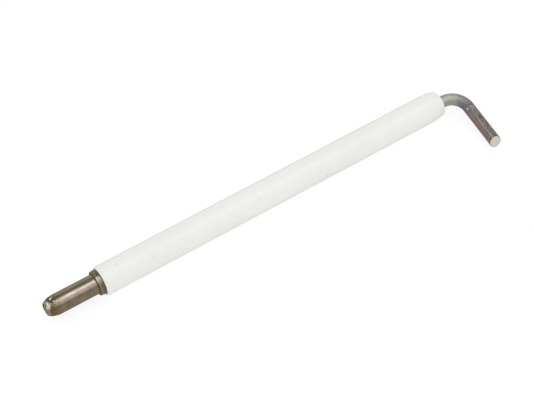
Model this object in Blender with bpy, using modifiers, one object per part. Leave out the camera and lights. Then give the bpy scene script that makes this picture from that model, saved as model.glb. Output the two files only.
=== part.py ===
"""A flame sensor probe for a gas or oil burner.

A white ceramic tube carries a heat-resisting wire through its bore. At the flame end the wire comes
out and is bent over into a short leg, cut off at a slant. At the other end it goes into a plated
sleeve with a collar, which is the push-on terminal, and is brazed in the sleeve's tip. Cement in both
ends of the bore holds the wire.

The probe lies as it would on a bench: the tube along X with the flame end at +X, resting on z = 0,
and the leg towards -Y with its tip just touching z = 0. The middle of the whole object's footprint is
at the origin. All sizes are in metres.

    blender --background --python part.py
"""

import math

import bmesh
import bpy
from mathutils import Matrix, Vector

# ---------------------------------------------------------------- driving dimensions

TUBE_LENGTH = 0.07975
TUBE_RADIUS = 0.0030
BORE_RADIUS = 0.0015
BORE_CHAMFER = 0.00015
TAPER_LENGTH = 0.0022  # of the flame end, from where the tube starts to narrow to its end face
FLAME_FACE_RADIUS = 0.0021
FLAME_EDGE_ROUNDING = 0.00045
TERMINAL_END_ROUNDING = 0.0004

WIRE_RADIUS = 0.00125
BEND_START = 0.00119  # straight wire past the tube's end, before the bend
BEND_RADIUS = 0.00369  # at the wire's centreline
BEND_ANGLE = math.radians(93.2)
LEG_LENGTH = 0.0096  # from the end of the bend to the middle of the cut face
CUT_SLANT = math.radians(24)  # how far the cut face leans from square
CUT_HEADING = math.radians(75)  # which way it leans: 0 towards the tube, 90 straight up

PIN_RADIUS = 0.0020
PIN_LENGTH = 0.01155  # from the tube's end to the terminal's tip
NOSE_LENGTH = 0.0024
TIP_RADIUS = 0.00125
TIP_HOLE_RADIUS = 0.00095
TIP_WALL = 0.00070  # end wall of the sleeve, with the brazed hole in it
COLLAR_RADIUS = 0.0025
COLLAR_THICKNESS = 0.0011
COLLAR_EDGE = 0.00012
COLLAR_FILLET = 0.00015

CEMENT_DEPTH = 0.0050
FLAME_CEMENT_RECESS = 0.00030
TERMINAL_CEMENT_RECESS = 0.00010

FIT_GAP = 0.00003  # kept between the faces of neighbouring pieces

TUBE_SIDES = 72
PIN_SIDES = 48
CEMENT_SIDES = 48
WIRE_BEVEL_RESOLUTION = 16  # gives 36 sides
BEND_STEPS = 20
MERGE_DISTANCE = 0.000001

FLAME_END = TUBE_LENGTH / 2
TERMINAL_END = -TUBE_LENGTH / 2


# ---------------------------------------------------------------- helpers


def clear_scene():
    for thing in list(bpy.data.objects):
        bpy.data.objects.remove(thing)


def new_collection(name):
    collection = bpy.data.collections.new(name)
    bpy.context.scene.collection.children.link(collection)
    return collection


def make_material(name, colour, roughness, metallic):
    material = bpy.data.materials.new(name)
    material.use_nodes = True
    shader = material.node_tree.nodes["Principled BSDF"]
    shader.inputs["Base Color"].default_value = (*colour, 1.0)
    shader.inputs["Roughness"].default_value = roughness
    shader.inputs["Metallic"].default_value = metallic
    material.diffuse_color = (*colour, 1.0)
    return material


def arc(centre_radius, centre_along, radius, start, end, steps):
    """Points on an arc in a turned profile, as (distance from the axis, place along it)."""
    points = []
    for step in range(steps + 1):
        angle = math.radians(start + (end - start) * step / steps)
        points.append((centre_radius + radius * math.cos(angle), centre_along + radius * math.sin(angle)))
    return points


def turned(name, profile, sides, material, collection, holder):
    """A ring-shaped piece on the tube's axis: a closed profile, turned once round by a Screw.

    The profile runs down the outer side, from the flame end to the terminal end, and back up inside.
    """
    mesh = bpy.data.meshes.new(name)
    edges = [(index, (index + 1) % len(profile)) for index in range(len(profile))]
    mesh.from_pydata([(radius, 0.0, along) for radius, along in profile], edges, [])
    piece = bpy.data.objects.new(name, mesh)
    piece.data.materials.append(material)
    collection.objects.link(piece)
    screw = piece.modifiers.new("Turn", "SCREW")
    screw.axis = "Z"
    screw.angle = math.tau
    screw.steps = sides
    screw.render_steps = sides
    screw.use_merge_vertices = True
    screw.merge_threshold = MERGE_DISTANCE
    screw.use_smooth_shade = True
    piece.parent = holder
    piece.rotation_euler = (0.0, math.radians(90), 0.0)
    return piece


# ---------------------------------------------------------------- the pieces


def insulator_tube(collection, holder):
    """The ceramic tube, tapered and rounded at the flame end and only eased at the terminal end."""
    taper_depth = TUBE_RADIUS - FLAME_FACE_RADIUS - FLAME_EDGE_ROUNDING
    taper_angle = math.degrees(math.atan(taper_depth / (TAPER_LENGTH - FLAME_EDGE_ROUNDING)))
    profile = [(BORE_RADIUS + BORE_CHAMFER, FLAME_END)]
    profile += arc(
        FLAME_FACE_RADIUS, FLAME_END - FLAME_EDGE_ROUNDING, FLAME_EDGE_ROUNDING, 90, taper_angle, 6
    )
    profile.append((TUBE_RADIUS, FLAME_END - TAPER_LENGTH))
    profile += arc(
        TUBE_RADIUS - TERMINAL_END_ROUNDING,
        TERMINAL_END + TERMINAL_END_ROUNDING,
        TERMINAL_END_ROUNDING,
        0,
        -90,
        5,
    )
    profile += [
        (BORE_RADIUS + BORE_CHAMFER, TERMINAL_END),
        (BORE_RADIUS, TERMINAL_END + BORE_CHAMFER),
        (BORE_RADIUS, FLAME_END - BORE_CHAMFER),
    ]
    ceramic = make_material("white_ceramic", (0.86, 0.86, 0.84), 0.35, 0.0)
    return turned("insulator_tube", profile, TUBE_SIDES, ceramic, collection, holder)


def terminal_sleeve(collection, holder):
    """The push-on terminal: a collar against the ceramic, a round pin and a bullet nose."""
    collar_back = TERMINAL_END - FIT_GAP
    collar_front = collar_back - COLLAR_THICKNESS
    tip = TERMINAL_END - PIN_LENGTH
    nose_start = tip + NOSE_LENGTH
    wire_hole = WIRE_RADIUS + FIT_GAP

    rim = COLLAR_RADIUS - COLLAR_EDGE
    profile = [(wire_hole, collar_back)]
    profile += arc(rim, collar_back - COLLAR_EDGE, COLLAR_EDGE, 90, 0, 4)
    profile += arc(rim, collar_front + COLLAR_EDGE, COLLAR_EDGE, 0, -90, 4)
    profile += arc(
        PIN_RADIUS + COLLAR_FILLET, collar_front - COLLAR_FILLET, COLLAR_FILLET, 90, 180, 4
    )
    # The nose is an arc that leaves the pin's side smoothly and reaches the tip's edge.
    narrowing = PIN_RADIUS - TIP_RADIUS
    nose_radius = (NOSE_LENGTH**2 + narrowing**2) / (2 * narrowing)
    nose_sweep = math.degrees(math.asin(NOSE_LENGTH / nose_radius))
    profile += arc(PIN_RADIUS - nose_radius, nose_start, nose_radius, 0, -nose_sweep, 10)
    profile += [
        (TIP_HOLE_RADIUS, tip),
        (TIP_HOLE_RADIUS, tip + TIP_WALL),
        (wire_hole, tip + TIP_WALL),
    ]
    plating = make_material("plated_brass", (0.56, 0.51, 0.42), 0.3, 1.0)
    return turned("terminal_sleeve", profile, PIN_SIDES, plating, collection, holder)


def cement_ring(name, low, high, material, collection, holder):
    """Cement round the wire, filling the bore between two places along the tube."""
    inner = WIRE_RADIUS + FIT_GAP
    outer = BORE_RADIUS - FIT_GAP
    profile = [(inner, high), (outer, high), (outer, low), (inner, low)]
    return turned(name, profile, CEMENT_SIDES, material, collection, holder)


def cement_rings(collection, holder):
    cement = make_material("cement", (0.74, 0.71, 0.65), 0.85, 0.0)
    top = FLAME_END - FLAME_CEMENT_RECESS
    bottom = TERMINAL_END + TERMINAL_CEMENT_RECESS
    return [
        cement_ring("flame_end_cement", top - CEMENT_DEPTH, top, cement, collection, holder),
        cement_ring("terminal_end_cement", bottom, bottom + CEMENT_DEPTH, cement, collection, holder),
    ]


def tip_braze(collection, holder):
    """The plug of braze that fills the hole in the sleeve's tip and holds the wire's end there."""
    tip = TERMINAL_END - PIN_LENGTH
    length = TIP_WALL
    mesh = bpy.data.meshes.new("tip_braze")
    shape = bmesh.new()
    bmesh.ops.create_cone(
        shape,
        cap_ends=True,
        segments=CEMENT_SIDES,
        radius1=TIP_HOLE_RADIUS - FIT_GAP,
        radius2=TIP_HOLE_RADIUS - FIT_GAP,
        depth=length,
        matrix=Matrix.Translation((0.0, 0.0, tip + length / 2)),
    )
    shape.to_mesh(mesh)
    shape.free()
    mesh.shade_smooth()
    mesh.set_sharp_from_angle(angle=math.radians(30))
    piece = bpy.data.objects.new("tip_braze", mesh)
    piece.data.materials.append(make_material("braze", (0.70, 0.66, 0.60), 0.35, 1.0))
    collection.objects.link(piece)
    piece.parent = holder
    piece.rotation_euler = (0.0, math.radians(90), 0.0)
    return piece


def wire_path():
    """The wire's centreline with its leg level: along the bore, round the bend and down the leg.

    Returns its points, the leg's direction and the middle of the cut face.
    """
    start = TERMINAL_END - PIN_LENGTH + TIP_WALL + FIT_GAP
    bend_at = FLAME_END + BEND_START
    points = [Vector((start, 0.0, 0.0)), Vector((TERMINAL_END, 0.0, 0.0))]
    for step in range(BEND_STEPS + 1):
        angle = BEND_ANGLE * step / BEND_STEPS
        along = bend_at + BEND_RADIUS * math.sin(angle)
        points.append(Vector((along, -BEND_RADIUS * (1 - math.cos(angle)), 0.0)))
    leg = Vector((math.cos(BEND_ANGLE), -math.sin(BEND_ANGLE), 0.0))
    return points, leg, points[-1] + leg * LEG_LENGTH


def curve_as_mesh(name, points, radius, bevel_resolution, collection):
    """A round wire along the points, made a mesh with closed ends."""
    curve = bpy.data.curves.new(name, "CURVE")
    curve.dimensions = "3D"
    curve.bevel_depth = radius
    curve.bevel_resolution = bevel_resolution
    curve.use_fill_caps = True
    spline = curve.splines.new("POLY")
    spline.points.add(len(points) - 1)
    for spot, point in zip(spline.points, points):
        spot.co = (*point, 1.0)
    guide = bpy.data.objects.new(name + "_curve", curve)
    collection.objects.link(guide)
    bpy.context.view_layer.update()
    evaluated = guide.evaluated_get(bpy.context.evaluated_depsgraph_get())
    mesh = bpy.data.meshes.new_from_object(evaluated)
    mesh.name = name
    piece = bpy.data.objects.new(name, mesh)
    piece.matrix_world = guide.matrix_world
    bpy.data.objects.remove(guide)
    shape = bmesh.new()
    shape.from_mesh(mesh)
    bmesh.ops.remove_doubles(shape, verts=shape.verts, dist=MERGE_DISTANCE)
    shape.to_mesh(mesh)
    shape.free()
    collection.objects.link(piece)
    return piece


def sensing_wire(collection, cutters, holder):
    """The bent wire, with its leg cut off at a slant by a turned block."""
    points, leg, cut_middle = wire_path()
    overrun = 2 * WIRE_RADIUS  # the leg is made this much too long before the cut
    piece = curve_as_mesh(
        "sensing_wire", points + [cut_middle + leg * overrun], WIRE_RADIUS, WIRE_BEVEL_RESOLUTION, collection
    )
    piece.data.shade_smooth()
    piece.data.set_sharp_from_angle(angle=math.radians(30))
    piece.data.materials.clear()
    piece.data.materials.append(make_material("heat_resisting_wire", (0.36, 0.34, 0.33), 0.38, 1.0))

    to_tube = Vector((-1.0, 0.0, 0.0))
    lean = to_tube * math.cos(CUT_HEADING) + Vector((0.0, 0.0, 1.0)) * math.sin(CUT_HEADING)
    lean = (lean - leg * lean.dot(leg)).normalized()
    face = leg * math.cos(CUT_SLANT) + lean * math.sin(CUT_SLANT)
    block_size = 12 * WIRE_RADIUS
    mesh = bpy.data.meshes.new("leg_cutter")
    shape = bmesh.new()
    bmesh.ops.create_cube(shape, size=block_size)
    shape.to_mesh(mesh)
    shape.free()
    cutter = bpy.data.objects.new("leg_cutter", mesh)
    cutters.objects.link(cutter)
    cutter.hide_render = True
    cutter.display_type = "WIRE"
    cutter.parent = piece
    cutter.location = cut_middle + face * block_size / 2
    cutter.rotation_euler = face.to_track_quat("Z", "Y").to_euler()

    cut = piece.modifiers.new("Cut the leg", "BOOLEAN")
    cut.operation = "DIFFERENCE"
    cut.solver = "EXACT"
    cut.object = cutter
    piece.parent = holder
    return piece


def evaluated_points(piece, in_world):
    """A piece's vertices after its modifiers, in its own space or in the world."""
    bpy.context.view_layer.update()
    evaluated = piece.evaluated_get(bpy.context.evaluated_depsgraph_get())
    mesh = evaluated.to_mesh()
    matrix = evaluated.matrix_world if in_world else Matrix.Identity(4)
    points = [matrix @ vertex.co for vertex in mesh.vertices]
    evaluated.to_mesh_clear()
    return points


def lower_leg_to_floor(wire):
    """Turns the wire about the tube's axis until its leg is as low as the tube's underside."""
    points = evaluated_points(wire, in_world=False)
    low, high = 0.0, math.radians(30)
    for _ in range(50):
        turn = (low + high) / 2
        reach = -min(point.y * math.sin(turn) + point.z * math.cos(turn) for point in points)
        low, high = (turn, high) if reach < TUBE_RADIUS else (low, turn)
    wire.rotation_euler = (low, 0.0, 0.0)


def centre_on_origin(holder, pieces):
    """Moves the holder so that the whole object's box stands on z = 0 over the origin."""
    points = [point for piece in pieces for point in evaluated_points(piece, in_world=True)]
    middle = []
    for axis in range(2):
        values = [point[axis] for point in points]
        middle.append((min(values) + max(values)) / 2)
    holder.location = (-middle[0], -middle[1], TUBE_RADIUS)


def main():
    clear_scene()
    collection = new_collection("flame_sensor_probe")
    cutters = new_collection("cutters")
    holder = bpy.data.objects.new("probe", None)
    collection.objects.link(holder)

    pieces = [insulator_tube(collection, holder), terminal_sleeve(collection, holder)]
    pieces += cement_rings(collection, holder)
    pieces.append(tip_braze(collection, holder))
    wire = sensing_wire(collection, cutters, holder)
    lower_leg_to_floor(wire)
    pieces.append(wire)
    centre_on_origin(holder, pieces)


main()
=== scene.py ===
# %% [markdown]
# # A flame sensor probe
#
# Gas and oil burners carry a small probe that proves the flame is lit: a heat-resisting wire
# reaches into the flame, a white ceramic tube keeps it off the burner's metal, and a plated
# terminal takes the lead. This lesson builds the good-looking version of that probe round a
# plain engineering model of the same parts, which gives every size and place.

# %% Load the engineering model
import math

import bmesh
import bpy
from mathutils import Matrix, Vector


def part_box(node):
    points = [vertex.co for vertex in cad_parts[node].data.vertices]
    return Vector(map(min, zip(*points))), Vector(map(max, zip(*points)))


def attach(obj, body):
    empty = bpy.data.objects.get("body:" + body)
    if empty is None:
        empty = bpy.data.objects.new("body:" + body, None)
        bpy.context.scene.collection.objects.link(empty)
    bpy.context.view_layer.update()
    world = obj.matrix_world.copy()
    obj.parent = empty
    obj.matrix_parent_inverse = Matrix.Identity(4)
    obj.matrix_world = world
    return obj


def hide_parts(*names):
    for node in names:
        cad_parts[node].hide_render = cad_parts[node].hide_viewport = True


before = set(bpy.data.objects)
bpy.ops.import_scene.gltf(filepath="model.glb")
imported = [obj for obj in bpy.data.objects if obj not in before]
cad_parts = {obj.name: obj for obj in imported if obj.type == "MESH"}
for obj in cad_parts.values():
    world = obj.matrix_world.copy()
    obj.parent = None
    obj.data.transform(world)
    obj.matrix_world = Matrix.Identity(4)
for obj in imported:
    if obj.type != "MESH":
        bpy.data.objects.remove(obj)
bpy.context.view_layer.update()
print("engineering parts:", ", ".join(sorted(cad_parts)))

# %% [markdown]
# ## Places that everything shares
#
# The tube and the terminal are round about one line, which runs along X. Its ends and the
# outside sizes are read from the boxes of the engineering parts, so nothing is placed by eye.
# The few sizes that a box doesn't show, such as the wire's thickness, are named where they are
# first needed.

# %% Read the main places
MM = 0.001

tube_low, tube_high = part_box("insulator_tube")
sleeve_low, sleeve_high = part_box("terminal_sleeve")

FLAME_END = tube_high.x
TERMINAL_END = tube_low.x
TIP = sleeve_low.x
COLLAR_BACK = sleeve_high.x
WIRE_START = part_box("sensing_wire")[0].x
TUBE_RADIUS = (tube_high.z - tube_low.z) / 2
COLLAR_RADIUS = (sleeve_high.z - sleeve_low.z) / 2
AXIS_Y = (tube_low.y + tube_high.y) / 2
AXIS_Z = (tube_low.z + tube_high.z) / 2
TUBE_MIDDLE = Vector(((FLAME_END + TERMINAL_END) / 2, AXIS_Y, AXIS_Z))

print(f"tube {1000 * (FLAME_END - TERMINAL_END):.1f} mm long, {2000 * TUBE_RADIUS:.2f} mm thick")

# %% [markdown]
# ## The camera
#
# A long lens keeps a thin object from looking bent, and needs about 0.28 m here to take the whole
# probe in. It looks down on the probe from the terminal's side, so the tube runs up to the
# right. A camera looks along its own -Z, and `to_track_quat` turns that axis onto the line to
# the target while keeping the horizon level.

# %% Set up the camera
CAMERA_TURN = math.radians(-33.82)
CAMERA_RISE = math.radians(52.353)
CAMERA_DISTANCE = 282.24 * MM
CAMERA_TARGET = Vector((TERMINAL_END + 36.57 * MM, AXIS_Y - 1.32 * MM, AXIS_Z))
LENS = 97.69  # millimetres of focal length, behind a sensor 36 mm wide
SENSOR_WIDTH = 36.0

to_camera = Vector(
    (
        math.sin(CAMERA_TURN) * math.cos(CAMERA_RISE),
        -math.cos(CAMERA_TURN) * math.cos(CAMERA_RISE),
        math.sin(CAMERA_RISE),
    )
)
camera_data = bpy.data.cameras.new("camera")
camera_data.lens = LENS
camera_data.sensor_width = SENSOR_WIDTH
camera_data.clip_start = 0.01
camera = bpy.data.objects.new("camera", camera_data)
bpy.context.scene.collection.objects.link(camera)
camera.location = CAMERA_TARGET + to_camera * CAMERA_DISTANCE
camera.rotation_euler = to_camera.to_track_quat("Z", "Y").to_euler()
bpy.context.scene.camera = camera
print("camera at", [round(1000 * value, 1) for value in camera.location], "mm")

# %% [markdown]
# ## Small helpers for node trees
#
# Lights, floor and finishes are all node trees. These helpers add a node with its settings given
# by name, join two sockets, and do the sums that masks are made of. With them a finish reads
# from top to bottom, like a recipe.

# %% Define the node helpers


def add(tree, kind, **values):
    """A new node, with its settings and its inputs' values given by name."""
    made = tree.nodes.new(kind)
    for name, value in values.items():
        socket = made.inputs.get(name.replace("_", " "))
        if hasattr(made, name):
            setattr(made, name, value)
        else:
            socket.default_value = value
    return made


def feed(tree, value, socket):
    """Joins a node's output to a socket, or sets the socket if the value is a plain one."""
    if isinstance(value, bpy.types.NodeSocket):
        tree.links.new(value, socket)
    elif isinstance(value, tuple) and len(value) == 3 and socket.type == "RGBA":
        socket.default_value = (*value, 1.0)
    else:
        socket.default_value = value


def sum_up(tree, operation, *values, clamp=False):
    """One Math node on up to three values."""
    made = add(tree, "ShaderNodeMath", operation=operation)
    made.use_clamp = clamp
    for value, socket in zip(values, made.inputs):
        feed(tree, value, socket)
    return made.outputs["Value"]


def step_up(tree, value, low, high):
    """0 below low, 1 above high and a smooth slope between, or the other way if low > high."""
    made = add(tree, "ShaderNodeMapRange", interpolation_type="SMOOTHSTEP")
    feed(tree, value, made.inputs["Value"])
    feed(tree, low, made.inputs["From Min"])
    feed(tree, high, made.inputs["From Max"])
    return made.outputs["Result"]


def both(tree, first, second):
    """Where two masks hold together, or a mask weakened by a plain share: their product."""
    return sum_up(tree, "MULTIPLY", first, second)


def either(tree, first, second):
    """The stronger of two masks."""
    return sum_up(tree, "MAXIMUM", first, second)


def blend(tree, share, first, second):
    """Mixes two colours by a share from 0 to 1."""
    made = add(tree, "ShaderNodeMix", data_type="RGBA")
    feed(tree, share, made.inputs["Factor"])
    feed(tree, first, made.inputs["A"])
    feed(tree, second, made.inputs["B"])
    return made.outputs["Result"]


def ramp(tree, value, stops):
    """A colour ramp over (place, colour) stops."""
    made = add(tree, "ShaderNodeValToRGB")
    elements = made.color_ramp.elements
    while len(elements) < len(stops):
        elements.new(0.5)
    for element, (place, colour) in zip(elements, stops):
        element.position = place
        element.color = (*colour, 1.0)
    feed(tree, value, made.inputs["Fac"])
    return made.outputs["Color"]


print("node helpers ready")

# %% [markdown]
# ## The studio round the probe
#
# Bright metal is only as good as what it mirrors. Soft pale light comes from everywhere, but
# mirror reflections see a small studio instead: dim and brownish in front and below, bright
# overhead, dark olive behind. A round pin then shows a dark band, a bright streak and a mid
# tone, and reads as round. The angle over the front horizon picks the shade, from the front (0)
# over the top (0.5) to the back (1). The lens itself sees plain white, so every view has a clean
# backdrop. "Standard" shows colours as they are, without a film curve, so white stays white.

# %% Make the studio
scene = bpy.context.scene
scene.view_settings.view_transform = "Standard"

SOFT_LIGHT = (0.95, 0.95, 0.945)
STUDIO_SHADES = [
    (0.00, (0.35, 0.32, 0.24)),
    (0.10, (0.29, 0.26, 0.185)),
    (0.18, (0.27, 0.25, 0.20)),
    (0.225, (0.56, 0.53, 0.52)),
    (0.27, (0.86, 0.82, 0.82)),
    (0.37, (0.62, 0.60, 0.65)),
    (0.44, (0.88, 0.86, 0.84)),
    (0.545, (0.96, 0.94, 0.84)),
    (0.60, (0.30, 0.28, 0.16)),
    (0.66, (0.13, 0.125, 0.045)),
    (0.77, (0.23, 0.23, 0.14)),
    (0.90, (0.45, 0.48, 0.46)),
    (1.00, (0.42, 0.43, 0.41)),
]

world = bpy.data.worlds.new("studio")
scene.world = world
world.use_nodes = True
world.cycles.sampling_method = "NONE"  # the shades depend on what kind of ray looks at them
tree = world.node_tree
direction = add(tree, "ShaderNodeSeparateXYZ")
feed(tree, add(tree, "ShaderNodeTexCoord").outputs["Generated"], direction.inputs["Vector"])
to_front = sum_up(tree, "MULTIPLY", direction.outputs["Y"], -1.0)
angle = sum_up(tree, "ARCTAN2", direction.outputs["Z"], to_front)
shades = ramp(tree, sum_up(tree, "DIVIDE", angle, math.pi), STUDIO_SHADES)
looker = add(tree, "ShaderNodeLightPath").outputs
seen = blend(tree, looker["Is Glossy Ray"], SOFT_LIGHT, shades)
seen = blend(tree, looker["Is Camera Ray"], seen, (1.0, 1.0, 1.0))
feed(tree, seen, tree.nodes["Background"].inputs["Color"])

KEY_RISE = math.radians(84)
KEY_DISTANCE = 0.6
KEY_SIZE = (0.9, 0.11)
KEY_RADIANCE = 1.5  # white paper in this light is 1

key = bpy.data.lights.new("overhead_strip", "AREA")
key.shape = "RECTANGLE"
key.size, key.size_y = KEY_SIZE
key.energy = KEY_RADIANCE * math.pi * KEY_SIZE[0] * KEY_SIZE[1]
key_lamp = bpy.data.objects.new("overhead_strip", key)
scene.collection.objects.link(key_lamp)
to_key = Vector((0.0, -math.cos(KEY_RISE), math.sin(KEY_RISE)))
key_lamp.location = TUBE_MIDDLE + to_key * KEY_DISTANCE
key_lamp.rotation_euler = to_key.to_track_quat("Z", "Y").to_euler()
print("studio ready, one lamp of", round(key.energy, 3), "W")

# %% [markdown]
# ## The floor
#
# The probe lies on a light table: a pale floor that glows a little itself, so that its shadow
# stays faint and the ground stays white. Photographers hide a bright table from shiny metal with
# black card; here the floor is simply left out of mirror reflections.

# %% Lay the floor
TABLE_SIZE = 6.0
TABLE_GREY = (0.16, 0.16, 0.16, 1.0)
TABLE_GLOW = 0.86

bpy.ops.object.select_all(action="DESELECT")
bpy.ops.mesh.primitive_plane_add(size=TABLE_SIZE, location=(0.0, 0.0, 0.0))
floor = bpy.context.active_object
floor.name = "floor"
floor.visible_glossy = False
light_table = bpy.data.materials.new("light_table")
light_table.use_nodes = True
table_shader = light_table.node_tree.nodes["Principled BSDF"]
table_shader.inputs["Base Color"].default_value = TABLE_GREY
table_shader.inputs["Roughness"].default_value = 1.0
table_shader.inputs["Specular IOR Level"].default_value = 0.0
table_shader.inputs["Emission Color"].default_value = (1.0, 1.0, 1.0, 1.0)
table_shader.inputs["Emission Strength"].default_value = TABLE_GLOW
floor.data.materials.append(light_table)
print("floor of", TABLE_SIZE, "m laid")

# %% [markdown]
# ## Helpers for modelling by hand
#
# Every round piece here starts as one circle. It is drawn out into a wall the way clay is drawn
# on a wheel: extrude the ring, slide it along the line, scale it to its next radius, and repeat.
# Joining the last ring to the first closes the piece. Each helper does one such step with the
# same operators that the Edit menu calls, on rings picked by their place.

# %% Define the modelling helpers
SIDES = 96  # round a turned piece


def start_ring(name, radius, along, sides=SIDES):
    """One circle across the probe's axis, left in edit mode with all of it selected."""
    bpy.ops.object.select_all(action="DESELECT")
    bpy.ops.mesh.primitive_circle_add(
        vertices=sides,
        radius=radius,
        location=(along, AXIS_Y, AXIS_Z),
        rotation=(0.0, math.radians(90), 0.0),
    )
    piece = bpy.context.active_object
    piece.name = name
    bpy.ops.object.transform_apply(location=True, rotation=True, scale=True)
    bpy.ops.object.mode_set(mode="EDIT")
    bpy.ops.mesh.select_mode(type="EDGE")
    bpy.ops.mesh.select_all(action="SELECT")
    return piece


def draw_out(stations):
    """Extrudes the selected ring from the first (radius, place along the axis) through the others."""
    radius, along = stations[0]
    for next_radius, next_along in stations[1:]:
        slide = {"value": (next_along - along, 0.0, 0.0)}
        bpy.ops.mesh.extrude_edges_move(TRANSFORM_OT_translate=slide)
        share = next_radius / radius
        centre = (next_along, AXIS_Y, AXIS_Z)
        bpy.ops.transform.resize(value=(1.0, share, share), center_override=centre)
        radius, along = next_radius, next_along


def pick_rings(piece, stations, within=0.004 * MM):
    """Selects the whole rings that lie at the given (radius, along) stations, and nothing else."""
    bpy.ops.mesh.select_all(action="DESELECT")
    shape = bmesh.from_edit_mesh(piece.data)
    for edge in shape.edges:
        ends = [(math.hypot(v.co.y - AXIS_Y, v.co.z - AXIS_Z), v.co.x) for v in edge.verts]
        for radius, along in stations:
            if all(abs(r - radius) < within and abs(x - along) < within for r, x in ends):
                edge.select_set(True)
    bmesh.update_edit_mesh(piece.data)


def close_round(piece, stations):
    """Bridges the last ring of a wall to its first, which closes the piece."""
    pick_rings(piece, [stations[0], stations[-1]])
    bpy.ops.mesh.bridge_edge_loops()


def round_off(piece, station, width, segments):
    """Bevels the ring at one station."""
    pick_rings(piece, [station])
    bpy.ops.mesh.bevel(offset=width, offset_type="OFFSET", segments=segments, affect="EDGES")


def leave_edit(piece, sharp=35):
    """Turns the faces outwards, shades the piece smooth and returns to object mode."""
    bpy.ops.mesh.select_all(action="SELECT")
    bpy.ops.mesh.normals_make_consistent(inside=False)
    bpy.ops.object.mode_set(mode="OBJECT")
    bpy.ops.object.shade_smooth_by_angle(angle=math.radians(sharp))


def put_in_place(piece, finish, node):
    """Gives a piece its finish, hangs it under the root and hides the part it stands for."""
    if piece.data.materials:
        piece.data.materials[0] = finish
    else:
        piece.data.materials.append(finish)
    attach(piece, "root")
    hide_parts(node)
    print(f"{piece.name}: {len(piece.data.polygons)} faces")


print("round pieces get", SIDES, "sides unless they say otherwise")

# %% [markdown]
# ## How the wire lies in its bore
#
# The bore is half a millimetre wider than the wire, so the wire never lies dead centre. It sits
# a little low and forward at the flame end and a little high at the other, and the sleeve that
# is brazed to it goes along. A tiny turn and shift does this to each piece of that core.

# %% Lay the core askew
LIE = Vector((0.0, 0.842, 0.54))
LIE_AT_TERMINAL = 0.07 * MM
LIE_AT_FLAME = -0.17 * MM

core_line = Vector((FLAME_END - TERMINAL_END, 0.0, 0.0)) + LIE * (LIE_AT_FLAME - LIE_AT_TERMINAL)
core_turn = Vector((1.0, 0.0, 0.0)).rotation_difference(core_line)
core_middle = TUBE_MIDDLE + LIE * (LIE_AT_TERMINAL + LIE_AT_FLAME) / 2


def lay_askew(piece, roll=0.0):
    """Rolls a piece about the wire's line, then lays it as the wire lies in the bore."""
    bpy.ops.object.select_all(action="DESELECT")
    piece.select_set(True)
    bpy.context.view_layer.objects.active = piece
    rolled = core_turn.to_matrix() @ Matrix.Rotation(roll, 3, "X")
    piece.matrix_world = (
        Matrix.Translation(core_middle) @ rolled.to_4x4() @ Matrix.Translation(-TUBE_MIDDLE)
    )
    bpy.ops.object.transform_apply(location=True, rotation=True, scale=True)


print("the core leans", round(math.degrees(core_turn.angle), 2), "degrees")

# %% [markdown]
# ## Shared effects
#
# Four effects are used again and again, so each is a node group that is built once: slow
# blotches, small specks for pits and pinholes, fine lines for drawn wire and turned metal, and a
# single ragged spot, which places the painted glints and a pale patch. Each takes a position and
# gives back a plain mask, and each finish decides what that mask does to its colour, roughness
# or relief.

# %% Make the shared node groups


def new_group(name, inputs, output):
    """An empty group with a Position, its other inputs as (name, value) and one output."""
    group = bpy.data.node_groups.new(name, "ShaderNodeTree")
    group.interface.new_socket(name="Position", in_out="INPUT", socket_type="NodeSocketVector")
    for socket, value in inputs:
        made = group.interface.new_socket(name=socket, in_out="INPUT", socket_type="NodeSocketFloat")
        made.default_value = value
    group.interface.new_socket(name=output, in_out="OUTPUT", socket_type="NodeSocketFloat")
    given = group.nodes.new("NodeGroupInput").outputs
    result = group.nodes.new("NodeGroupOutput").inputs[output]
    return group, given, result


def make_blotches():
    """Cloudy patches: Size in millimetres, Cover from 0 to 1, Edge is how soft they end."""
    group, given, result = new_group(
        "blotches", [("Size", 2.0), ("Cover", 0.5), ("Edge", 0.1), ("Shift", 0.0)], "Mask"
    )
    noise = add(group, "ShaderNodeTexNoise", noise_dimensions="4D", Detail=5.0, Roughness=0.6)
    feed(group, given["Position"], noise.inputs["Vector"])
    feed(group, given["Shift"], noise.inputs["W"])
    feed(group, sum_up(group, "DIVIDE", 1000.0, given["Size"]), noise.inputs["Scale"])
    limit = sum_up(group, "MULTIPLY_ADD", given["Cover"], -0.5, 0.75)
    low = sum_up(group, "SUBTRACT", limit, given["Edge"])
    high = sum_up(group, "ADD", limit, given["Edge"])
    feed(group, step_up(group, noise.outputs["Fac"], low, high), result)
    return group


def make_specks():
    """Round pits or grains about Size millimetres apart, of which only a Share shows."""
    group, given, result = new_group("specks", [("Size", 0.5), ("Share", 0.3)], "Mask")
    cells = add(group, "ShaderNodeTexVoronoi", feature="F1")
    feed(group, given["Position"], cells.inputs["Vector"])
    feed(group, sum_up(group, "DIVIDE", 1000.0, given["Size"]), cells.inputs["Scale"])
    spot = step_up(group, cells.outputs["Distance"], 0.45, 0.15)
    parts = add(group, "ShaderNodeSeparateColor")
    feed(group, cells.outputs["Color"], parts.inputs["Color"])
    chosen = sum_up(group, "LESS_THAN", parts.outputs["Red"], given["Share"])
    sized = sum_up(group, "MULTIPLY", spot, chosen)
    strength = sum_up(group, "MULTIPLY_ADD", parts.outputs["Green"], 0.6, 0.4)
    feed(group, sum_up(group, "MULTIPLY", sized, strength), result)
    return group


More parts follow.
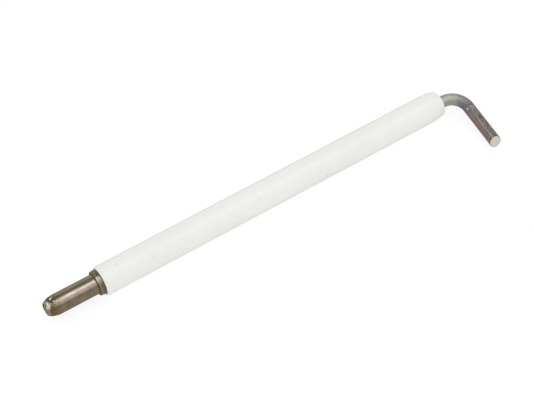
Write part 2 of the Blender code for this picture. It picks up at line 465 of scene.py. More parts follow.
def make_fine_lines():
    """Fine lines along X of Position: Along and Across are their size in millimetres."""
    group, given, result = new_group("fine_lines", [("Along", 6.0), ("Across", 0.12)], "Lines")
    along = sum_up(group, "DIVIDE", 1000.0, given["Along"])
    across = sum_up(group, "DIVIDE", 1000.0, given["Across"])
    stretch = add(group, "ShaderNodeCombineXYZ")
    feed(group, along, stretch.inputs["X"])
    feed(group, across, stretch.inputs["Y"])
    feed(group, across, stretch.inputs["Z"])
    scaled = add(group, "ShaderNodeVectorMath", operation="MULTIPLY")
    feed(group, given["Position"], scaled.inputs[0])
    feed(group, stretch.outputs["Vector"], scaled.inputs[1])
    noise = add(group, "ShaderNodeTexNoise", Scale=1.0, Detail=3.0, Roughness=0.55)
    feed(group, scaled.outputs["Vector"], noise.inputs["Vector"])
    feed(group, noise.outputs["Fac"], result)
    return group


def make_spot():
    """One ragged spot at the Position's zero, Size millimetres across."""
    group, given, result = new_group("spot", [("Size", 0.3)], "Mask")
    noise = add(group, "ShaderNodeTexNoise", Scale=9000.0, Detail=2.0)
    feed(group, given["Position"], noise.inputs["Vector"])
    away = add(group, "ShaderNodeVectorMath", operation="LENGTH")
    feed(group, given["Position"], away.inputs[0])
    radius = sum_up(group, "MULTIPLY", given["Size"], MM / 2)
    radii = sum_up(group, "DIVIDE", away.outputs["Value"], radius)
    ragged = sum_up(group, "ADD", radii, noise.outputs["Fac"])
    feed(group, step_up(group, ragged, 1.7, 1.2), result)
    return group


BLOTCHES = make_blotches()
SPECKS = make_specks()
FINE_LINES = make_fine_lines()
SPOT = make_spot()
print("shared effects:", BLOTCHES.name, SPECKS.name, FINE_LINES.name, SPOT.name)

# %% [markdown]
# A finish places these groups with `effect`, looks at them from a chosen centre with `around`,
# and turns a mask into raised or sunk detail with `relief`, which is a Bump node.

# %% Define the finish helpers


def effect(tree, group, position, **values):
    """Places a shared effect in a finish and returns its one output."""
    made = tree.nodes.new("ShaderNodeGroup")
    made.node_tree = group
    feed(tree, position, made.inputs["Position"])
    for name, value in values.items():
        feed(tree, value, made.inputs[name])
    return made.outputs[0]


def around(tree, position, centre):
    """The position as seen from a centre, for a spot that lies there."""
    made = add(tree, "ShaderNodeVectorMath", operation="SUBTRACT")
    feed(tree, position, made.inputs[0])
    feed(tree, tuple(centre), made.inputs[1])
    return made.outputs["Vector"]


def relief(tree, height, depth, below=None):
    """Raised or sunk detail from a height of 0 to 1; depth is in millimetres."""
    made = add(tree, "ShaderNodeBump", Strength=1.0, Distance=abs(depth) * MM, invert=depth < 0)
    feed(tree, height, made.inputs["Height"])
    if below is not None:
        feed(tree, below, made.inputs["Normal"])
    return made.outputs["Normal"]


def new_finish(name):
    """A material, with its tree, its shader's inputs and the position that patterns read."""
    finish = bpy.data.materials.new(name)
    finish.use_nodes = True
    tree = finish.node_tree
    position = add(tree, "ShaderNodeTexCoord").outputs["Object"]
    return finish, tree, tree.nodes["Principled BSDF"].inputs, position


print("finish helpers ready")

# %% [markdown]
# ## The ceramic tube
#
# The insulator is pressed alumina, fired hard and left unglazed, with a bore right through it.
# The flame end narrows in a short taper with a rounded rim; the other end only has its edge
# eased. A turned profile would do, but drawing a ring out from the bore's mouth, over the
# outside and back through the bore keeps each edge a ring that can be picked and rounded to its
# own width.

# %% Model the ceramic tube
BORE_RADIUS = 1.5 * MM
MOUTH_RADIUS = 1.65 * MM
BORE_CHAMFER = 0.15 * MM
TAPER_LENGTH = 2.2 * MM
FLAME_FACE_RADIUS = 2.1 * MM
FLAME_EDGE = 0.45 * MM

taper_rim = (FLAME_FACE_RADIUS + FLAME_EDGE, FLAME_END)
taper_foot = (TUBE_RADIUS, FLAME_END - TAPER_LENGTH)
back_edge = (TUBE_RADIUS, TERMINAL_END)
tube_stations = [
    (MOUTH_RADIUS, FLAME_END),
    taper_rim,
    taper_foot,
    back_edge,
    (MOUTH_RADIUS, TERMINAL_END),
    (BORE_RADIUS, TERMINAL_END + BORE_CHAMFER),
    (BORE_RADIUS, FLAME_END - BORE_CHAMFER),
]
ceramic_tube = start_ring("ceramic_tube", *tube_stations[0])
draw_out(tube_stations)
close_round(ceramic_tube, tube_stations)
round_off(ceramic_tube, taper_rim, FLAME_EDGE, 8)
round_off(ceramic_tube, taper_foot, 0.8 * MM, 6)
round_off(ceramic_tube, back_edge, 0.4 * MM, 6)
leave_edit(ceramic_tube)

# %% [markdown]
# Fired alumina is never one flat white. It has faint grey and cream clouds, a fine grain from
# the pressing, and here and there a dark pinhole. Where the terminal's collar sits against it, a
# thin dark ring is painted: contact shade at the join, with a little grime. The colour is mixed
# first, then the grain drives both the roughness and a very shallow relief, so the highlight
# breaks up as it does on real ceramic.

# %% Mix the ceramic
CERAMIC_GREY = (0.818, 0.825, 0.790)
CERAMIC_WHITE = (0.837, 0.840, 0.812)
CERAMIC_CREAM = (0.840, 0.826, 0.798)
PINHOLE = (0.50, 0.47, 0.42)
JOIN_SHADE_AND_GRIME = (0.22, 0.20, 0.17)
JOIN_SHADE_FULL = 2.55 * MM  # from the axis
JOIN_SHADE_ENDS = 2.80 * MM

ceramic, tree, shader, position = new_finish("fired_ceramic")
cloud = effect(tree, BLOTCHES, position, Size=11.0, Cover=0.5, Edge=0.2)
colour = blend(tree, cloud, CERAMIC_GREY, CERAMIC_WHITE)
cream = effect(tree, BLOTCHES, position, Size=5.0, Cover=0.35, Edge=0.15, Shift=3.0)
colour = blend(tree, both(tree, cream, 0.6), colour, CERAMIC_CREAM)
pinholes = effect(tree, SPECKS, position, Size=1.4, Share=0.04)
colour = blend(tree, both(tree, pinholes, 0.2), colour, PINHOLE)
# A thin dark ring where the collar meets the ceramic: painted contact shade, with a little grime.
from_end = add(tree, "ShaderNodeVectorMath", operation="LENGTH")
feed(tree, around(tree, position, (TERMINAL_END, AXIS_Y, AXIS_Z)), from_end.inputs[0])
join_shade = step_up(tree, from_end.outputs["Value"], JOIN_SHADE_ENDS, JOIN_SHADE_FULL)
colour = blend(tree, both(tree, join_shade, 0.85), colour, JOIN_SHADE_AND_GRIME)
feed(tree, colour, shader["Base Color"])
grain = effect(tree, FINE_LINES, position, Along=0.30, Across=0.30)
feed(tree, sum_up(tree, "MULTIPLY_ADD", grain, 0.2, 0.28), shader["Roughness"])
grained = relief(tree, grain, 0.010)
feed(tree, relief(tree, pinholes, -0.015, grained), shader["Normal"])
put_in_place(ceramic_tube, ceramic, "insulator_tube")

# %% [markdown]
# ## The bent wire
#
# One heat-resisting wire runs from the terminal's tip through the bore and out into the flame.
# It is drawn out straight, then spun round the centre of its bend, which keeps it exactly round,
# then drawn on down the leg. A cropping tool has cut the leg off at a slant: a bisect with a
# tilted plane makes that cut, fills it and throws the rest away.

# %% Model the wire with its leg level
WIRE_RADIUS = 1.25 * MM
WIRE_SIDES = 64
BEND_START = 1.19 * MM
BEND_RADIUS = 3.69 * MM
BEND_ANGLE = math.radians(93.2)
BEND_STEPS = 44
MOUTH_PARTS = 8
LEG_LENGTH = 9.6 * MM
LEG_PARTS = 40
CUT_SLANT = math.radians(24)
CUT_HEADING = math.radians(75)  # 0 leans towards the tube, 90 straight up
CUT_RIM = 0.10 * MM

bend_at = FLAME_END + BEND_START
mouth_at = FLAME_END - MM  # just inside the bore, where the wire comes into sight
bend_centre = Vector((bend_at, AXIS_Y - BEND_RADIUS, AXIS_Z))
bend_out = Vector((math.sin(BEND_ANGLE), math.cos(BEND_ANGLE), 0.0))
bend_end = bend_centre + BEND_RADIUS * bend_out
leg = Vector((math.cos(BEND_ANGLE), -math.sin(BEND_ANGLE), 0.0))
cut_middle = bend_end + leg * LEG_LENGTH

wire = start_ring("bent_wire", WIRE_RADIUS, WIRE_START, WIRE_SIDES)
bpy.ops.mesh.edge_face_add()
straight_part = [(WIRE_RADIUS, WIRE_START), (WIRE_RADIUS, mouth_at)]
for part in range(1, MOUTH_PARTS + 1):
    straight_part.append((WIRE_RADIUS, mouth_at + (bend_at - mouth_at) * part / MOUTH_PARTS))
pick_rings(wire, straight_part[:1])
draw_out(straight_part)
pick_rings(wire, straight_part[-1:])
bpy.ops.mesh.spin(steps=BEND_STEPS, angle=BEND_ANGLE, center=bend_centre, axis=(0.0, 0.0, 1.0))
overrun = 2 * WIRE_RADIUS  # the leg is drawn this much too long, then cut
leg_step = {"value": leg * (LEG_LENGTH + overrun) / LEG_PARTS}
for part in range(LEG_PARTS):
    bpy.ops.mesh.extrude_edges_move(TRANSFORM_OT_translate=leg_step)
bpy.ops.mesh.edge_face_add()
print("bend ends at", [round(1000 * value, 2) for value in bend_end], "mm")

# %% [markdown]
# The cut leaves a thin burr-free rim and a face that is brighter than the rest. The face keeps
# its own material slot, so it can be finished as fresh metal.

# %% Cut the leg at a slant
lean = Vector((-math.cos(CUT_HEADING), 0.0, math.sin(CUT_HEADING)))
lean = (lean - leg * lean.dot(leg)).normalized()
cut_normal = leg * math.cos(CUT_SLANT) + lean * math.sin(CUT_SLANT)
bpy.ops.mesh.select_all(action="SELECT")
bpy.ops.mesh.bisect(
    plane_co=cut_middle, plane_no=cut_normal, use_fill=True, clear_outer=True, threshold=0.001 * MM
)
bpy.ops.mesh.bevel(offset=CUT_RIM, offset_type="OFFSET", segments=2, affect="EDGES")
leave_edit(wire)
print("wire:", len(wire.data.vertices), "points")

# %% [markdown]
# The finish of the wire has to follow it round the bend, so every point keeps its place on the
# wire as if it had never been bent: how far along it is, and where across it. The finish reads
# that attribute instead of the object's own coordinates.

# %% Keep each point's place on the straight wire


def place_on_wire(point):
    """(along, sideways, up) on the straight wire, for a point on the bent one, all in metres."""
    from_centre = point - bend_centre
    past = point - bend_end
    if point.x < bend_at and point.y > bend_centre.y:
        return point.x, point.y - AXIS_Y, point.z - AXIS_Z
    swept = math.atan2(from_centre.x, from_centre.y)
    if 0.0 <= swept < BEND_ANGLE:
        flat = math.hypot(from_centre.x, from_centre.y)
        return bend_at + BEND_RADIUS * swept, flat - BEND_RADIUS, from_centre.z
    return bend_at + BEND_RADIUS * BEND_ANGLE + past.dot(leg), past.dot(bend_out), past.z


straight = wire.data.attributes.new("straight_wire", "FLOAT_VECTOR", "POINT")
for point, kept in zip(wire.data.vertices, straight.data):
    kept.vector = place_on_wire(point.co)
WIRE_END = bend_at + BEND_RADIUS * BEND_ANGLE + LEG_LENGTH
print(f"bend starts at {1000 * bend_at:.2f} mm, the wire would end at {1000 * WIRE_END:.2f} mm")

# %% [markdown]
# The leg hangs down a little, just far enough for its tip to lie on the table. Halving the
# guess again and again finds that roll.

# %% Lay the wire down


def lowest_after(roll):
    move = Matrix.Translation(core_middle) @ core_turn.to_matrix().to_4x4()
    move = move @ Matrix.Rotation(roll, 4, "X") @ Matrix.Translation(-TUBE_MIDDLE)
    return min((move @ vertex.co).z for vertex in wire.data.vertices)


low_roll, high_roll = 0.0, math.radians(30)
for halving in range(24):
    roll = (low_roll + high_roll) / 2
    low_roll, high_roll = (roll, high_roll) if lowest_after(roll) > 0.0 else (low_roll, roll)
lay_askew(wire, low_roll)
print("the leg drops", round(math.degrees(low_roll), 2), "degrees")

# %% [markdown]
# In the flame the wire grows a thin oxide that colours it: pale near the tube, blue-violet at
# the bend, mauve and brown down the leg. Each tint is a mask over the distance along the wire,
# shaken a little by blotches so that no edge is straight. Those distances are in millimetres
# from the ceramic's end, as a ruler laid along the wire would give them.

# %% Mark out the wire
heated, tree, shader, position = new_finish("heated_wire")
on_wire = add(tree, "ShaderNodeAttribute", attribute_name="straight_wire").outputs["Vector"]
wire_parts = add(tree, "ShaderNodeSeparateXYZ")
feed(tree, on_wire, wire_parts.inputs["Vector"])
along, sideways, upwards = (wire_parts.outputs[name] for name in "XYZ")


def shaken(value, noise, reach):
    """A value pushed either way by a noise, by up to half of reach."""
    return sum_up(tree, "MULTIPLY_ADD", sum_up(tree, "SUBTRACT", noise, 0.5), reach, value)


def beyond(start, soft):
    """1 past a place along the wire, with a soft start."""
    return step_up(tree, wobbly, FLAME_END + (start - soft) * MM, FLAME_END + (start + soft) * MM)


def along_band(start, end, soft):
    """1 between two places along the wire, with soft ends."""
    before = step_up(tree, wobbly, FLAME_END + (end + soft) * MM, FLAME_END + (end - soft) * MM)
    return both(tree, beyond(start, soft), before)


cloud = effect(tree, BLOTCHES, on_wire, Size=1.3, Cover=0.5, Edge=0.25)
ragged = effect(tree, BLOTCHES, on_wire, Size=0.45, Cover=0.5, Edge=0.2, Shift=4.0)
wobbly = shaken(along, cloud, 1.0 * MM)
across = shaken(sideways, ragged, 0.25 * MM)
underside = step_up(tree, across, -0.80 * MM, -1.10 * MM)
tube_side = step_up(tree, across, -0.15 * MM, -0.75 * MM)
violet_side = step_up(tree, across, 0.05 * MM, -0.75 * MM)
middle_strip = step_up(tree, sum_up(tree, "ABSOLUTE", across), 0.55 * MM, 0.20 * MM)
print("wire marked out with", len(tree.nodes), "nodes")

# %% Mix the heat tints
BRIGHT_STEEL = (0.520, 0.530, 0.505)
BROWN_STEEL = (0.440, 0.425, 0.405)
LIGHT_GREY = (0.315, 0.322, 0.306)
WARM_GREY = (0.270, 0.250, 0.225)
VIOLET = (0.190, 0.165, 0.230)
MAUVE = (0.265, 0.200, 0.210)
BROWN = (0.200, 0.150, 0.120)

GREY_FROM = 3.9
VIOLET_FROM = 5.0
VIOLET_TO = 8.3
MAUVE_FROM = 6.6
WARM_FROM = 11.0
BROWN_FROM = 14.2

colour = blend(tree, both(tree, underside, 0.9), BRIGHT_STEEL, BROWN_STEEL)
colour = blend(tree, beyond(GREY_FROM, 1.6), colour, LIGHT_GREY)
colour = blend(tree, beyond(WARM_FROM, 2.5), colour, WARM_GREY)
colour = blend(tree, both(tree, beyond(MAUVE_FROM, 0.9), tube_side), colour, MAUVE)
violet = both(tree, along_band(VIOLET_FROM, VIOLET_TO, 1.7), violet_side)
colour = blend(tree, both(tree, violet, 0.9), colour, VIOLET)
colour = blend(tree, both(tree, beyond(BROWN_FROM, 1.6), 0.4), colour, BROWN)
print("heat tints mixed, the last from", BROWN_FROM, "mm")

# %% [markdown]
# Small things lie on top of the tints: a dark greenish patch, flecks of loose scale on the outer
# side of the leg, the silky lines of drawn wire and streaks of soot. Two more are painted light: a
# pale line along the top of the leg is a painted highlight of the overhead lamp, and one bright
# spot near the bend is a painted glint.

# %% Add the patch and the flecks
OXIDE_GREEN = (0.120, 0.130, 0.090)
FLECK = (0.035, 0.038, 0.028)
PATCH_FROM = 9.8
PATCH_TO = 12.2
FLECKS_FROM = 6.0
THICK_FROM = 9.0  # here the flecks crowd together
THICK_TO = 15.5

patch = effect(tree, BLOTCHES, on_wire, Size=0.6, Cover=0.65, Edge=0.08, Shift=3.0)
patch = both(tree, patch, both(tree, middle_strip, along_band(PATCH_FROM, PATCH_TO, 0.6)))
colour = blend(tree, both(tree, patch, 0.8), colour, OXIDE_GREEN)
thick = both(tree, middle_strip, along_band(THICK_FROM, THICK_TO, 0.8))
fleck_share = sum_up(tree, "MULTIPLY_ADD", tube_side, -0.60, 0.72)
fleck_share = sum_up(tree, "MULTIPLY_ADD", thick, 0.28, fleck_share)
fleck_share = both(tree, fleck_share, beyond(FLECKS_FROM, 1.2))
flecks = effect(tree, FINE_LINES, on_wire, Along=0.60, Across=0.28)
flecks = both(tree, step_up(tree, flecks, 0.53, 0.60), fleck_share)
colour = blend(tree, flecks, colour, FLECK)
print("flecks start at", FLECKS_FROM, "mm")

# %% Add the lines, the streaks, the painted highlight and the painted glint
DRAWN_SHEEN = (0.50, 0.47, 0.42)
HIGHLIGHT_LINE = (0.560, 0.480, 0.410)
SOOT = (0.12, 0.11, 0.10)
PALE_SCALE = (0.62, 0.61, 0.58)
WIRE_GLINT = (0.90, 0.90, 0.88)
HIGHLIGHT_LINE_AT = -0.53 * MM  # sideways
HIGHLIGHT_LINE_FROM = 10.4
HIGHLIGHT_LINE_TO = 15.8
WIRE_GLINT_AT = Vector((FLAME_END + 7.85 * MM, -0.91 * MM, 0.85 * MM))

drawn = effect(tree, FINE_LINES, on_wire, Along=5.0, Across=0.16)
colour = blend(tree, both(tree, step_up(tree, drawn, 0.5, 0.8), 0.5), colour, DRAWN_SHEEN)
# A painted highlight: a pale broken line along the top of the leg, where the overhead lamp's
# highlight runs.
from_line = sum_up(tree, "ABSOLUTE", sum_up(tree, "SUBTRACT", sideways, HIGHLIGHT_LINE_AT))
highlight_line = step_up(tree, from_line, 0.12 * MM, 0.04 * MM)
broken = effect(tree, BLOTCHES, on_wire, Size=0.7, Cover=0.6, Edge=0.05, Shift=8.0)
highlight_line = both(tree, highlight_line, both(tree, broken, along_band(HIGHLIGHT_LINE_FROM, HIGHLIGHT_LINE_TO, 0.4)))
highlight_line = both(tree, highlight_line, step_up(tree, upwards, 0.0, 0.3 * MM))
colour = blend(tree, both(tree, highlight_line, 0.8), colour, HIGHLIGHT_LINE)
streaks = effect(tree, FINE_LINES, on_wire, Along=1.6, Across=0.20)
colour = blend(tree, both(tree, step_up(tree, streaks, 0.52, 0.66), 0.35), colour, SOOT)
colour = blend(tree, both(tree, step_up(tree, streaks, 0.46, 0.32), 0.18), colour, PALE_SCALE)
# A painted glint: one bright spot near the bend, where the lamp's glint falls.
wire_glint = effect(tree, SPOT, around(tree, on_wire, WIRE_GLINT_AT), Size=0.34)
colour = blend(tree, wire_glint, colour, WIRE_GLINT)
feed(tree, colour, shader["Base Color"])
shader["Metallic"].default_value = 0.5
feed(tree, sum_up(tree, "MULTIPLY_ADD", drawn, 0.14, 0.40), shader["Roughness"])
lined = relief(tree, drawn, 0.008)
feed(tree, relief(tree, flecks, -0.012, lined), shader["Normal"])
put_in_place(wire, heated, "sensing_wire")

# %% [markdown]
# The cut face gets the second material slot. It is found by its direction: the cut's own
# direction, turned the same way as the wire was when it was laid down.

# %% Finish the cut face as fresh metal
CUT_SHADE = (0.71, 0.645, 0.59)
CUT_LIGHT = (0.79, 0.73, 0.665)

fresh_cut, tree, shader, position = new_finish("fresh_cut")
torn = effect(tree, FINE_LINES, position, Along=0.9, Across=0.12)
feed(tree, blend(tree, torn, CUT_SHADE, CUT_LIGHT), shader["Base Color"])
shader["Metallic"].default_value = 0.3
feed(tree, sum_up(tree, "MULTIPLY_ADD", torn, 0.2, 0.45), shader["Roughness"])
feed(tree, relief(tree, torn, 0.02), shader["Normal"])
wire.data.materials.append(fresh_cut)
cut_direction = (core_turn.to_matrix() @ Matrix.Rotation(low_roll, 3, "X")) @ cut_normal
cut_faces = [face for face in wire.data.polygons if face.normal.dot(cut_direction) > 0.999]
for face in cut_faces:
    face.material_index = 1
print("cut faces:", len(cut_faces))

# %% [markdown]
# ## The plated terminal
#
# The push-on terminal is one turned piece of brass with a dull nickel plating: a collar that
# butts against the ceramic, a round pin and a bullet nose that guides the lead's socket on. It
# is drawn out in one go like the tube. The long pin gets a ring about every third of a
# millimetre, so that a displacement can later dent it a little: a perfect cylinder looks drawn,
# not made. The collar's front edge is rounded widely, almost into a bead.

# %% Model the terminal
PIN_RADIUS = 2.0 * MM
COLLAR_THICKNESS = 1.1 * MM
NOSE_LENGTH = 2.4 * MM
TIP_RADIUS = 1.25 * MM
TIP_HOLE_RADIUS = 0.95 * MM
TIP_WALL = 0.7 * MM
WIRE_HOLE_RADIUS = 1.28 * MM
TERMINAL_SIDES = 144
RING_SPACING = 0.3 * MM

collar_front = COLLAR_BACK - COLLAR_THICKNESS
nose_start = TIP + NOSE_LENGTH
narrowing = PIN_RADIUS - TIP_RADIUS
nose_curve = (NOSE_LENGTH**2 + narrowing**2) / (2 * narrowing)  # radius of the bullet's arc

collar_back_edge = (COLLAR_RADIUS, COLLAR_BACK)
collar_front_edge = (COLLAR_RADIUS, collar_front)
pin_root = (PIN_RADIUS, collar_front)
tip_edge = (TIP_RADIUS, TIP)
terminal_stations = [
    (WIRE_HOLE_RADIUS, COLLAR_BACK),
    collar_back_edge,
    collar_front_edge,
    pin_root,
]
pin_rings = round((collar_front - nose_start) / RING_SPACING)
for ring in range(1, pin_rings + 1):
    place = collar_front + (nose_start - collar_front) * ring / pin_rings
    terminal_stations.append((PIN_RADIUS, place))
nose_rings = 12
for ring in range(1, nose_rings + 1):
    down = NOSE_LENGTH * ring / nose_rings
    drop = nose_curve - math.sqrt(nose_curve**2 - down**2)
    terminal_stations.append((PIN_RADIUS - drop, nose_start - down))
terminal_stations += [
    (TIP_HOLE_RADIUS, TIP),
    (TIP_HOLE_RADIUS, TIP + TIP_WALL),
    (WIRE_HOLE_RADIUS, TIP + TIP_WALL),
]
terminal = start_ring("plated_terminal", *terminal_stations[0], sides=TERMINAL_SIDES)
draw_out(terminal_stations)
close_round(terminal, terminal_stations)
round_off(terminal, collar_back_edge, 0.14 * MM, 4)
round_off(terminal, collar_front_edge, 0.32 * MM, 6)
round_off(terminal, pin_root, 0.16 * MM, 4)
round_off(terminal, tip_edge, 0.13 * MM, 4)
leave_edit(terminal, sharp=40)
print("terminal:", len(terminal.data.vertices), "points")

# %% [markdown]
# Years of pushing sockets on and off leave a nicked collar edge, a bruised nose and a pin that is
# no longer quite straight in its reflections. Each is a Displace modifier on its own group of
# points, with its own grain size, applied one after the other.

# %% Nick, bruise and dent the terminal


def displace(piece, name, grain, depth, belongs):
    """Pushes the points for which belongs(radius, along) is true in and out by a cloudy texture."""
    group = piece.vertex_groups.new(name=name)
    chosen = []
    for vertex in piece.data.vertices:
        radius = math.hypot(vertex.co.y - AXIS_Y, vertex.co.z - AXIS_Z)
        if belongs(radius, vertex.co.x):
            chosen.append(vertex.index)
    group.add(chosen, 1.0, "REPLACE")
    texture = bpy.data.textures.new(name, "CLOUDS")
    texture.noise_scale = grain
    modifier = piece.modifiers.new(name, "DISPLACE")
    modifier.texture = texture
    modifier.texture_coords = "LOCAL"
    modifier.vertex_group = name
    modifier.strength = depth
    modifier.mid_level = 0.5
    bpy.context.view_layer.objects.active = piece
    bpy.ops.object.modifier_apply(modifier=name)
    piece.vertex_groups.remove(piece.vertex_groups[name])


def on_front_rim(radius, along):
    return radius > COLLAR_RADIUS - 0.3 * MM and along < collar_front + 0.35 * MM


def on_nose(radius, along):
    return TIP + 0.50 * MM < along < nose_start + 0.1 * MM and radius > WIRE_HOLE_RADIUS + 0.1 * MM


def on_pin(radius, along):
    return nose_start < along < collar_front - 0.5 * MM and radius > WIRE_HOLE_RADIUS + 0.1 * MM


displace(terminal, "rim_nicks", 0.28 * MM, 0.09 * MM, on_front_rim)
displace(terminal, "nose_bruises", 0.42 * MM, 0.09 * MM, on_nose)
displace(terminal, "pin_dents", 2.4 * MM, 0.03 * MM, on_pin)
lay_askew(terminal)

print("nicked, bruised and dented", len(terminal.data.vertices), "points")

# %% [markdown]
# The plating has worn in zones: a bare bright tip, a speckled dirty ring behind it, a brassy
# nose, a dull pin and a grimy collar. Painted shade darkens the tip's far edge, the corner at the
# pin's root and the collar's back edge by the ceramic. The ring lies nearer the tip at the pin's
# sides than on its top, so it is measured by a dipped distance: the place along, plus a share of
# how far off to the side a point is.

# %% Mark out the terminal
RING_DIP = 0.6
plating, tree, shader, position = new_finish("worn_plating")
place = add(tree, "ShaderNodeSeparateXYZ")
feed(tree, position, place.inputs["Vector"])
x_place = place.outputs["X"]
off_side = sum_up(tree, "SUBTRACT", place.outputs["Y"], AXIS_Y)
dipped = sum_up(tree, "MULTIPLY_ADD", sum_up(tree, "ABSOLUTE", off_side), RING_DIP, x_place)


def zone_edge(value, origin, start, end):
    """A soft step from 0 to 1 between two places, in millimetres from an origin."""
    return step_up(tree, value, origin + start * MM, origin + end * MM)


past_tip = zone_edge(dipped, TIP, 1.10, 1.35)
ring_zone = both(tree, past_tip, zone_edge(dipped, TIP, 2.6, 1.9))
nose_zone = both(tree, past_tip, zone_edge(dipped, TIP, 3.9, 2.3))
top_side = zone_edge(off_side, 0.0, -1.5, -0.9)
front_side = zone_edge(off_side, 0.0, -0.6, -1.5)
front_low = zone_edge(off_side, 0.0, -1.1, -1.6)
far_side = zone_edge(off_side, 0.0, -0.1, 0.5)
# Painted shade on the tip's far edge.
tip_edge_shade = both(tree, far_side, zone_edge(x_place, TIP, 0.16, 0.08))
collar_zone = zone_edge(x_place, collar_front, -0.04, -0.01)
# Painted shade in the corner at the pin's root, from just before to just past the collar's face.
root_zone = zone_edge(x_place, collar_front, -0.22, -0.08)
past_face = zone_edge(x_place, collar_front, 0.05, 0.09)
root_corner_shade = sum_up(tree, "SUBTRACT", root_zone, past_face, clamp=True)
rim_starts = zone_edge(x_place, collar_front, 0.10, 0.18)
rim_ends = zone_edge(x_place, collar_front, 0.50, 0.38)
rim_zone = both(tree, rim_starts, rim_ends)
rim_zone = both(tree, rim_zone, zone_edge(off_side, 0.0, 0.9, 0.3))
# Painted shade on the collar's back edge, by the ceramic.
collar_back_shade = zone_edge(x_place, COLLAR_BACK, -0.55, -0.30)
print("terminal marked out with", len(tree.nodes), "nodes")

# %% Mix the plating and its dirt
NICKEL = (0.62, 0.55, 0.50)
DULL_NICKEL = (0.52, 0.46, 0.40)
BROWN_NICKEL = (0.40, 0.33, 0.20)
TIP_NICKEL = (0.74, 0.69, 0.58)
OLIVE_NICKEL = (0.54, 0.50, 0.40)
GOLDEN = (0.55, 0.44, 0.25)
RING_OLIVE = (0.27, 0.235, 0.14)
NOSE_BROWN = (0.33, 0.275, 0.175)
TARNISH_AND_SHADE = (0.09, 0.078, 0.035)

cloud = effect(tree, BLOTCHES, position, Size=2.2, Cover=0.5, Edge=0.2)
colour = blend(tree, cloud, NICKEL, DULL_NICKEL)
colour = blend(tree, past_tip, TIP_NICKEL, colour)
brassy = effect(tree, BLOTCHES, position, Size=1.2, Cover=0.45, Edge=0.12, Shift=2.0)
brassy = both(tree, brassy, sum_up(tree, "MULTIPLY_ADD", front_side, 0.45, 0.1))
colour = blend(tree, brassy, colour, BROWN_NICKEL)
colour = blend(tree, both(tree, collar_zone, 0.8), colour, OLIVE_NICKEL)
colour = blend(tree, both(tree, nose_zone, 0.75), colour, NOSE_BROWN)
gold = effect(tree, BLOTCHES, position, Size=0.30, Cover=0.50, Edge=0.06, Shift=9.0)
colour = blend(tree, both(tree, gold, nose_zone), colour, GOLDEN)
ring_olive = both(tree, ring_zone, sum_up(tree, "MULTIPLY_ADD", front_low, -0.30, 0.50))
colour = blend(tree, ring_olive, colour, RING_OLIVE)
stains_and_shade = effect(tree, BLOTCHES, position, Size=0.26, Cover=0.55, Edge=0.05, Shift=5.0)
stain_share = both(tree, ring_zone, sum_up(tree, "MULTIPLY_ADD", top_side, 0.55, 0.30))
stain_share = either(tree, stain_share, both(tree, collar_zone, 0.35))
stain_share = either(tree, stain_share, 0.05)
stains_and_shade = both(tree, stains_and_shade, stain_share)
# The dark colour serves the real stains and pits, and also the painted shade on the collar's back
# edge, the tip's far edge and the root's corner.
stains_and_shade = either(tree, stains_and_shade, both(tree, collar_back_shade, 0.32))
stains_and_shade = either(tree, stains_and_shade, both(tree, tip_edge_shade, 0.8))
stains_and_shade = either(tree, stains_and_shade, both(tree, root_corner_shade, 0.6))
colour = blend(tree, stains_and_shade, colour, TARNISH_AND_SHADE)
print("plating of", len(tree.nodes), "nodes so far")

# %% [markdown]
# Knocks, pits and bright spots come last, so they lie over the dirt. The nicks follow the
# collar's rim. Of the four bright spots on the nose, two are painted glints of the overhead lamp
# and two make one pale patch. Each has a place of its own, given as someone with a ruler would:
# how far from the tip, and how far round from the top.

# %% Nick the rim, paint glints on the nose and finish the terminal
# Colour of the painted glints and of one pale patch on the nose.
GLINT_AND_PATCH_COLOUR = (0.97, 0.93, 0.84)
NICKED = (0.66, 0.62, 0.54)
GLINT_AND_PATCH_SPOTS = (  # mm from the tip, degrees from the top, size in mm, strength
    (0.60, 2, 0.50, 1.0),
    (1.80, 10, 0.34, 0.6),
    (1.45, -14, 0.52, 0.75),
    (1.62, -15, 0.52, 0.75),
)


def on_terminal(from_tip, turn):
    """A point of the terminal's nose as it lies, turn degrees from the top towards the front."""
    down = NOSE_LENGTH - from_tip * MM
    radius = PIN_RADIUS - nose_curve + math.sqrt(nose_curve**2 - down**2)
    turn = math.radians(turn)
    across = Vector((0.0, -radius * math.sin(turn), radius * math.cos(turn)))
    point = Vector((TIP + from_tip * MM, AXIS_Y, AXIS_Z)) + across
    return core_middle + core_turn @ (point - TUBE_MIDDLE)


nicked = effect(tree, BLOTCHES, position, Size=0.34, Cover=0.52, Edge=0.05, Shift=7.0)
colour = blend(tree, both(tree, nicked, rim_zone), colour, NICKED)
pitted = sum_up(tree, "MULTIPLY_ADD", nose_zone, 0.8, 0.08)
pitted = sum_up(tree, "MULTIPLY_ADD", collar_zone, 0.6, pitted)
pits = both(tree, effect(tree, SPECKS, position, Size=0.40, Share=0.35), pitted)
colour = blend(tree, pits, colour, TARNISH_AND_SHADE)
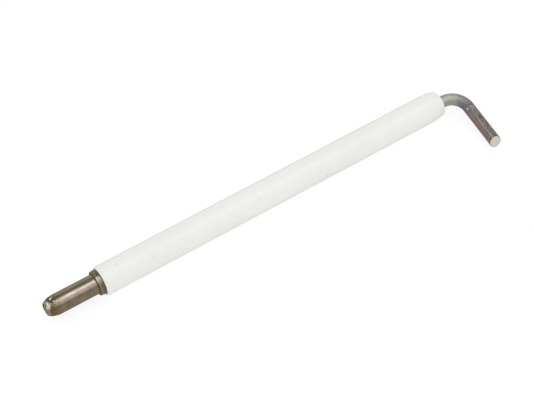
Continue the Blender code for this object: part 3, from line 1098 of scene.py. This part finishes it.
# Two of these spots are painted glints of the overhead lamp; the other two make one pale patch.
glints_and_patch = 0.0
for from_tip, turn, size, strength in GLINT_AND_PATCH_SPOTS:
    centre = on_terminal(from_tip, turn)
    spot = effect(tree, SPOT, around(tree, position, centre), Size=size)
    glints_and_patch = either(tree, glints_and_patch, both(tree, spot, strength))
colour = blend(tree, glints_and_patch, colour, GLINT_AND_PATCH_COLOUR)
feed(tree, colour, shader["Base Color"])
feed(tree, sum_up(tree, "MULTIPLY_ADD", glints_and_patch, -0.6, 1.0), shader["Metallic"])
scuffs = effect(tree, FINE_LINES, position, Along=3.0, Across=0.10)
rough = sum_up(tree, "MULTIPLY_ADD", cloud, 0.08, 0.17)
rough = sum_up(tree, "MULTIPLY_ADD", scuffs, 0.12, rough)
rough = sum_up(tree, "MULTIPLY_ADD", stains_and_shade, 0.15, rough)
rough = sum_up(tree, "MULTIPLY_ADD", glints_and_patch, 0.25, rough)
feed(tree, rough, shader["Roughness"])
scuffed = relief(tree, scuffs, 0.006)
feed(tree, relief(tree, pits, -0.03, scuffed), shader["Normal"])
put_in_place(terminal, plating, "terminal_sleeve")

# %% [markdown]
# ## The braze in the tip
#
# The wire's end is brazed through a hole in the terminal's tip. The braze has drawn in as it
# cooled, so its edge lies a little below the rim and its middle stands up to it.

# %% Model and finish the braze
BRAZE_RADIUS = 0.92 * MM
BRAZE_LIGHT = (0.60, 0.55, 0.49)
BRAZE_DARK = (0.45, 0.39, 0.32)
braze_stations = [
    (BRAZE_RADIUS, TIP + 0.70 * MM),
    (BRAZE_RADIUS, TIP + 0.10 * MM),
    (0.80 * MM, TIP + 0.055 * MM),
    (0.55 * MM, TIP + 0.02 * MM),
    (0.25 * MM, TIP + 0.003 * MM),
]
braze = start_ring("tip_braze_drop", *braze_stations[0], sides=64)
bpy.ops.mesh.edge_face_add()
pick_rings(braze, braze_stations[:1])
draw_out(braze_stations)
bpy.ops.mesh.edge_face_add()
leave_edit(braze)
lay_askew(braze)

silver_braze, tree, shader, position = new_finish("silver_braze")
cloud = effect(tree, BLOTCHES, position, Size=0.7, Cover=0.5, Edge=0.2)
feed(tree, blend(tree, cloud, BRAZE_LIGHT, BRAZE_DARK), shader["Base Color"])
shader["Metallic"].default_value = 1.0
feed(tree, sum_up(tree, "MULTIPLY_ADD", cloud, 0.2, 0.3), shader["Roughness"])
feed(tree, relief(tree, cloud, 0.03), shader["Normal"])
put_in_place(braze, silver_braze, "tip_braze")

# %% [markdown]
# ## The cement in both ends of the bore
#
# Refractory cement holds the wire in the ceramic. It goes in wet and shrinks as it sets, so its
# face hollows between the wire and the bore, and it is rough and slightly grey.

# %% Model and finish the cement
CEMENT_INNER = 1.28 * MM
CEMENT_OUTER = 1.47 * MM
CEMENT_HOLLOW = 0.06 * MM
CEMENT_LIGHT = (0.70, 0.67, 0.60)
CEMENT_DARK = (0.58, 0.54, 0.47)


def cement_plug(name, node):
    """A ring of cement in the box of its engineering part, hollowed at both faces."""
    low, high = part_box(node)
    middle = (CEMENT_INNER + CEMENT_OUTER) / 2
    stations = [
        (CEMENT_INNER, high.x),
        (middle, high.x - CEMENT_HOLLOW),
        (CEMENT_OUTER, high.x),
        (CEMENT_OUTER, low.x),
        (middle, low.x + CEMENT_HOLLOW),
        (CEMENT_INNER, low.x),
    ]
    plug = start_ring(name, *stations[0])
    draw_out(stations)
    close_round(plug, stations)
    leave_edit(plug)
    return plug


cement, tree, shader, position = new_finish("furnace_cement")
cloud = effect(tree, BLOTCHES, position, Size=0.8, Cover=0.5, Edge=0.2)
feed(tree, blend(tree, cloud, CEMENT_LIGHT, CEMENT_DARK), shader["Base Color"])
feed(tree, sum_up(tree, "MULTIPLY_ADD", cloud, 0.1, 0.82), shader["Roughness"])
grit = effect(tree, SPECKS, position, Size=0.12, Share=0.6)
feed(tree, relief(tree, grit, 0.02), shader["Normal"])

for name, node in (("flame_plug", "flame_end_cement"), ("terminal_plug", "terminal_end_cement")):
    put_in_place(cement_plug(name, node), cement, node)

# %% [markdown]
# ## Finish

# %% Finish
print("finished")
